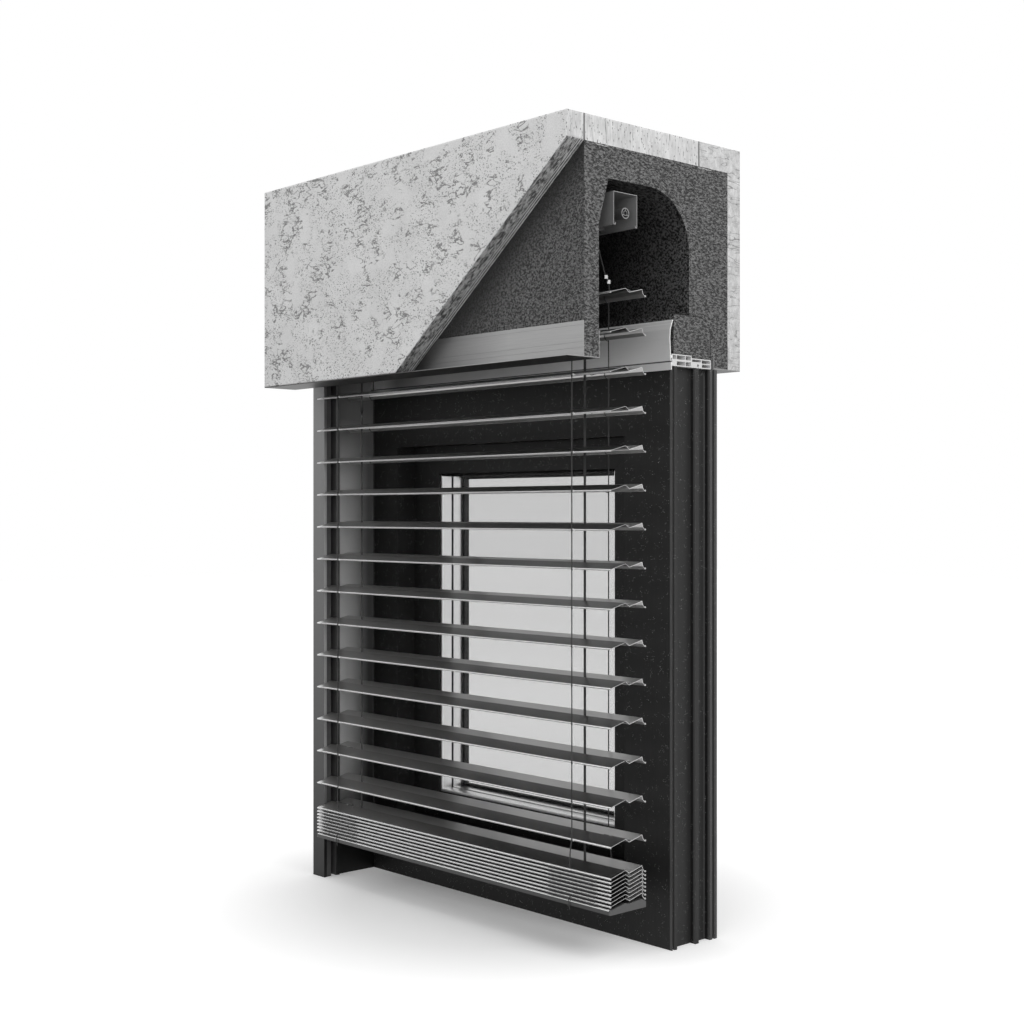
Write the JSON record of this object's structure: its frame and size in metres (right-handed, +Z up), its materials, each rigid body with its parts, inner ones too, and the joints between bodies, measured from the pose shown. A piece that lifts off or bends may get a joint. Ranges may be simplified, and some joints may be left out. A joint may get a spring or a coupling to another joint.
{
  "type": "external venetian blind",
  "caption": "Cutaway sample of an external venetian blind: folded slats on ladder cords under a headrail inside a rendered insulated lintel box, in front of a fixed window.",
  "frame": {"origin": "centre of the bounding box on the floor, under the sample", "axes": "+X to the right seen from outdoors, +Y from outdoors to indoors, +Z up"},
  "size_m": [0.886, 0.439, 1.417],
  "materials": {
    "render_coat": "matte",
    "insulation": "matte",
    "box_profile": "satin",
    "adapter_profile": "satin",
    "headrail_metal": "satin",
    "bearing_plastic": "matte",
    "motor_housing": "satin",
    "shaft_metal": "satin",
    "button_plastic": "gloss",
    "button_dark": "gloss",
    "slat_coated_aluminium": "satin",
    "pin_plastic": "satin",
    "cord_black": "matte",
    "tape_black": "matte",
    "rail_aluminium": "satin",
    "guide_aluminium": "satin",
    "liner_plastic": "matte",
    "window_profile": "satin",
    "glazing": "gloss"
  },
  "bodies": {
    "window_and_box": {"render_front": "render_coat", "render_top": "render_coat", "render_rear": "render_coat", "insulation_box": "insulation", "rear_insulation_insert": "insulation", "front_base_profile": "box_profile", "rear_base_profile": "box_profile", "inner_cover_profile": "box_profile", "frame_adapter_profile": "adapter_profile", "headrail": "headrail_metal", "headrail_hangers": "box_profile", "bearing_blocks": "bearing_plastic", "motor": "motor_housing", "guide_rail": "guide_aluminium", "guide_rail_liner": "liner_plastic", "window_frame": "window_profile", "glazing_frame": "window_profile", "glazing_unit": "glazing", "lift_tapes": "tape_black"},
    "bottom_rail_pack": {"bottom_rail": "rail_aluminium", "bottom_rail_end_caps": "pin_plastic", "stacked_slats": "slat_coated_aluminium", "stacked_slat_pins": "pin_plastic"},
    "drive_shaft": {"drive_shaft": "shaft_metal"},
    "tilt_drums": {"tilt_drums": "bearing_plastic"},
    "stop_button": {"stop_button": "button_plastic"},
    "upper_limit_button": {"upper_limit_button": "button_plastic"},
    "lower_limit_button": {"lower_limit_button": "button_dark"},
    "front_ladders": {"front_ladder_cords": "cord_black"},
    "rear_ladders": {"rear_ladder_cords": "cord_black"},
    "guide_pin_01": {"guide_pin_01": "pin_plastic"},
    "slat_01": {"slat_01": "slat_coated_aluminium"},
    "guide_pin_02": {"guide_pin_02": "pin_plastic"},
    "slat_02": {"slat_02": "slat_coated_aluminium"},
    "guide_pin_03": {"guide_pin_03": "pin_plastic"},
    "slat_03": {"slat_03": "slat_coated_aluminium"},
    "guide_pin_04": {"guide_pin_04": "pin_plastic"},
    "slat_04": {"slat_04": "slat_coated_aluminium"},
    "guide_pin_05": {"guide_pin_05": "pin_plastic"},
    "slat_05": {"slat_05": "slat_coated_aluminium"},
    "guide_pin_06": {"guide_pin_06": "pin_plastic"},
    "slat_06": {"slat_06": "slat_coated_aluminium"},
    "guide_pin_07": {"guide_pin_07": "pin_plastic"},
    "slat_07": {"slat_07": "slat_coated_aluminium"},
    "guide_pin_08": {"guide_pin_08": "pin_plastic"},
    "slat_08": {"slat_08": "slat_coated_aluminium"},
    "guide_pin_09": {"guide_pin_09": "pin_plastic"},
    "slat_09": {"slat_09": "slat_coated_aluminium"},
    "guide_pin_10": {"guide_pin_10": "pin_plastic"},
    "slat_10": {"slat_10": "slat_coated_aluminium"},
    "guide_pin_11": {"guide_pin_11": "pin_plastic"},
    "slat_11": {"slat_11": "slat_coated_aluminium"},
    "guide_pin_12": {"guide_pin_12": "pin_plastic"},
    "slat_12": {"slat_12": "slat_coated_aluminium"},
    "guide_pin_13": {"guide_pin_13": "pin_plastic"},
    "slat_13": {"slat_13": "slat_coated_aluminium"},
    "guide_pin_14": {"guide_pin_14": "pin_plastic"},
    "slat_14": {"slat_14": "slat_coated_aluminium"},
    "guide_pin_15": {"guide_pin_15": "pin_plastic"},
    "slat_15": {"slat_15": "slat_coated_aluminium"}
  },
  "joints": [
    {"name": "blind_lift", "type": "slide", "parent": "window_and_box", "child": "bottom_rail_pack", "axis": [0, 0, 1], "range_m": [0, 0.9586], "deforming": ["front_ladder_cords", "rear_ladder_cords", "lift_tapes"]},
    {"name": "slat_lift_01", "type": "slide", "parent": "window_and_box", "child": "guide_pin_01", "axis": [0, 0, 1], "range_m": [0, 0.0948]},
    {"name": "slat_lift_02", "type": "slide", "parent": "window_and_box", "child": "guide_pin_02", "axis": [0, 0, 1], "range_m": [0, 0.15319]},
    {"name": "slat_lift_03", "type": "slide", "parent": "window_and_box", "child": "guide_pin_03", "axis": [0, 0, 1], "range_m": [0, 0.21159]},
    {"name": "slat_lift_04", "type": "slide", "parent": "window_and_box", "child": "guide_pin_04", "axis": [0, 0, 1], "range_m": [0, 0.26999]},
    {"name": "slat_lift_05", "type": "slide", "parent": "window_and_box", "child": "guide_pin_05", "axis": [0, 0, 1], "range_m": [0, 0.32838]},
    {"name": "slat_lift_06", "type": "slide", "parent": "window_and_box", "child": "guide_pin_06", "axis": [0, 0, 1], "range_m": [0, 0.38678]},
    {"name": "slat_lift_07", "type": "slide", "parent": "window_and_box", "child": "guide_pin_07", "axis": [0, 0, 1], "range_m": [0, 0.44518]},
    {"name": "slat_lift_08", "type": "slide", "parent": "window_and_box", "child": "guide_pin_08", "axis": [0, 0, 1], "range_m": [0, 0.50358]},
    {"name": "slat_lift_09", "type": "slide", "parent": "window_and_box", "child": "guide_pin_09", "axis": [0, 0, 1], "range_m": [0, 0.56197]},
    {"name": "slat_lift_10", "type": "slide", "parent": "window_and_box", "child": "guide_pin_10", "axis": [0, 0, 1], "range_m": [0, 0.62037]},
    {"name": "slat_lift_11", "type": "slide", "parent": "window_and_box", "child": "guide_pin_11", "axis": [0, 0, 1], "range_m": [0, 0.67877]},
    {"name": "slat_lift_12", "type": "slide", "parent": "window_and_box", "child": "guide_pin_12", "axis": [0, 0, 1], "range_m": [0, 0.73717]},
    {"name": "slat_lift_13", "type": "slide", "parent": "window_and_box", "child": "guide_pin_13", "axis": [0, 0, 1], "range_m": [0, 0.79556]},
    {"name": "slat_lift_14", "type": "slide", "parent": "window_and_box", "child": "guide_pin_14", "axis": [0, 0, 1], "range_m": [0, 0.85396]},
    {"name": "slat_lift_15", "type": "slide", "parent": "window_and_box", "child": "guide_pin_15", "axis": [0, 0, 1], "range_m": [0, 0.91236]},
    {"name": "slat_tilt_01", "type": "hinge", "parent": "guide_pin_01", "child": "slat_01", "pos_m": [0, -0.0712, 1.1357], "axis": [-1, 0, 0], "range_deg": [-75, 0]},
    {"name": "slat_tilt_02", "type": "hinge", "parent": "guide_pin_02", "child": "slat_02", "pos_m": [0, -0.0712, 1.0694], "axis": [-1, 0, 0], "range_deg": [-75, 0]},
    {"name": "slat_tilt_03", "type": "hinge", "parent": "guide_pin_03", "child": "slat_03", "pos_m": [0, -0.0712, 1.0031], "axis": [-1, 0, 0], "range_deg": [-75, 0]},
    {"name": "slat_tilt_04", "type": "hinge", "parent": "guide_pin_04", "child": "slat_04", "pos_m": [0, -0.0712, 0.9368], "axis": [-1, 0, 0], "range_deg": [-75, 0]},
    {"name": "slat_tilt_05", "type": "hinge", "parent": "guide_pin_05", "child": "slat_05", "pos_m": [0, -0.0712, 0.8705], "axis": [-1, 0, 0], "range_deg": [-75, 0]},
    {"name": "slat_tilt_06", "type": "hinge", "parent": "guide_pin_06", "child": "slat_06", "pos_m": [0, -0.0712, 0.8042], "axis": [-1, 0, 0], "range_deg": [-75, 0]},
    {"name": "slat_tilt_07", "type": "hinge", "parent": "guide_pin_07", "child": "slat_07", "pos_m": [0, -0.0712, 0.7379], "axis": [-1, 0, 0], "range_deg": [-75, 0]},
    {"name": "slat_tilt_08", "type": "hinge", "parent": "guide_pin_08", "child": "slat_08", "pos_m": [0, -0.0712, 0.6716], "axis": [-1, 0, 0], "range_deg": [-75, 0]},
    {"name": "slat_tilt_09", "type": "hinge", "parent": "guide_pin_09", "child": "slat_09", "pos_m": [0, -0.0712, 0.6053], "axis": [-1, 0, 0], "range_deg": [-75, 0]},
    {"name": "slat_tilt_10", "type": "hinge", "parent": "guide_pin_10", "child": "slat_10", "pos_m": [0, -0.0712, 0.539], "axis": [-1, 0, 0], "range_deg": [-75, 0]},
    {"name": "slat_tilt_11", "type": "hinge", "parent": "guide_pin_11", "child": "slat_11", "pos_m": [0, -0.0712, 0.4727], "axis": [-1, 0, 0], "range_deg": [-75, 0]},
    {"name": "slat_tilt_12", "type": "hinge", "parent": "guide_pin_12", "child": "slat_12", "pos_m": [0, -0.0712, 0.4064], "axis": [-1, 0, 0], "range_deg": [-75, 0]},
    {"name": "slat_tilt_13", "type": "hinge", "parent": "guide_pin_13", "child": "slat_13", "pos_m": [0, -0.0712, 0.3401], "axis": [-1, 0, 0], "range_deg": [-75, 0]},
    {"name": "slat_tilt_14", "type": "hinge", "parent": "guide_pin_14", "child": "slat_14", "pos_m": [0, -0.0712, 0.2738], "axis": [-1, 0, 0], "range_deg": [-75, 0]},
    {"name": "slat_tilt_15", "type": "hinge", "parent": "guide_pin_15", "child": "slat_15", "pos_m": [0, -0.0712, 0.2075], "axis": [-1, 0, 0], "range_deg": [-75, 0]},
    {"name": "front_ladder_hang", "type": "hinge", "parent": "slat_01", "child": "front_ladders", "pos_m": [0, -0.1174, 1.12916], "axis": [-1, 0, 0], "range_deg": [0, 75]},
    {"name": "rear_ladder_hang", "type": "hinge", "parent": "slat_01", "child": "rear_ladders", "pos_m": [0, -0.03238, 1.1301], "axis": [-1, 0, 0], "range_deg": [0, 75]},
    {"name": "shaft_spin", "type": "hinge", "parent": "window_and_box", "child": "drive_shaft", "pos_m": [0, -0.07975, 1.2656], "axis": [1, 0, 0], "range_deg": [0, 4577]},
    {"name": "drum_turn", "type": "hinge", "parent": "window_and_box", "child": "tilt_drums", "pos_m": [0, -0.07975, 1.2656], "axis": [-1, 0, 0], "range_deg": [-191.25, 0]},
    {"name": "stop_press", "type": "slide", "parent": "window_and_box", "child": "stop_button", "axis": [0, 0, 1], "range_m": [0, 0.006], "stiffness_N_per_m": 150, "springref_m": -0.004},
    {"name": "upper_limit_press", "type": "slide", "parent": "window_and_box", "child": "upper_limit_button", "axis": [0, 0, 1], "range_m": [0, 0.002], "stiffness_N_per_m": 300, "springref_m": -0.002},
    {"name": "lower_limit_press", "type": "slide", "parent": "window_and_box", "child": "lower_limit_button", "axis": [0, 0, 1], "range_m": [0, 0.002], "stiffness_N_per_m": 300, "springref_m": -0.002}
  ],
  "couplings": [
    {"joint": "slat_lift_01", "follows": "blind_lift", "ratio": 0.09889},
    {"joint": "slat_lift_02", "follows": "blind_lift", "ratio": 0.15981},
    {"joint": "slat_lift_03", "follows": "blind_lift", "ratio": 0.22073},
    {"joint": "slat_lift_04", "follows": "blind_lift", "ratio": 0.28165},
    {"joint": "slat_lift_05", "follows": "blind_lift", "ratio": 0.34257},
    {"joint": "slat_lift_06", "follows": "blind_lift", "ratio": 0.40349},
    {"joint": "slat_lift_07", "follows": "blind_lift", "ratio": 0.46441},
    {"joint": "slat_lift_08", "follows": "blind_lift", "ratio": 0.52533},
    {"joint": "slat_lift_09", "follows": "blind_lift", "ratio": 0.58625},
    {"joint": "slat_lift_10", "follows": "blind_lift", "ratio": 0.64716},
    {"joint": "slat_lift_11", "follows": "blind_lift", "ratio": 0.70808},
    {"joint": "slat_lift_12", "follows": "blind_lift", "ratio": 0.769},
    {"joint": "slat_lift_13", "follows": "blind_lift", "ratio": 0.82992},
    {"joint": "slat_lift_14", "follows": "blind_lift", "ratio": 0.89084},
    {"joint": "slat_lift_15", "follows": "blind_lift", "ratio": 0.95176},
    {"joint": "slat_tilt_02", "follows": "slat_tilt_01", "ratio": 1},
    {"joint": "slat_tilt_03", "follows": "slat_tilt_01", "ratio": 1},
    {"joint": "slat_tilt_04", "follows": "slat_tilt_01", "ratio": 1},
    {"joint": "slat_tilt_05", "follows": "slat_tilt_01", "ratio": 1},
    {"joint": "slat_tilt_06", "follows": "slat_tilt_01", "ratio": 1},
    {"joint": "slat_tilt_07", "follows": "slat_tilt_01", "ratio": 1},
    {"joint": "slat_tilt_08", "follows": "slat_tilt_01", "ratio": 1},
    {"joint": "slat_tilt_09", "follows": "slat_tilt_01", "ratio": 1},
    {"joint": "slat_tilt_10", "follows": "slat_tilt_01", "ratio": 1},
    {"joint": "slat_tilt_11", "follows": "slat_tilt_01", "ratio": 1},
    {"joint": "slat_tilt_12", "follows": "slat_tilt_01", "ratio": 1},
    {"joint": "slat_tilt_13", "follows": "slat_tilt_01", "ratio": 1},
    {"joint": "slat_tilt_14", "follows": "slat_tilt_01", "ratio": 1},
    {"joint": "slat_tilt_15", "follows": "slat_tilt_01", "ratio": 1},
    {"joint": "front_ladder_hang", "follows": "slat_tilt_01", "ratio": -1},
    {"joint": "rear_ladder_hang", "follows": "slat_tilt_01", "ratio": -1},
    {"joint": "shaft_spin", "follows": "blind_lift", "rad_per_m": 83.333},
    {"joint": "drum_turn", "follows": "slat_tilt_01", "ratio": 2.55}
  ]
}
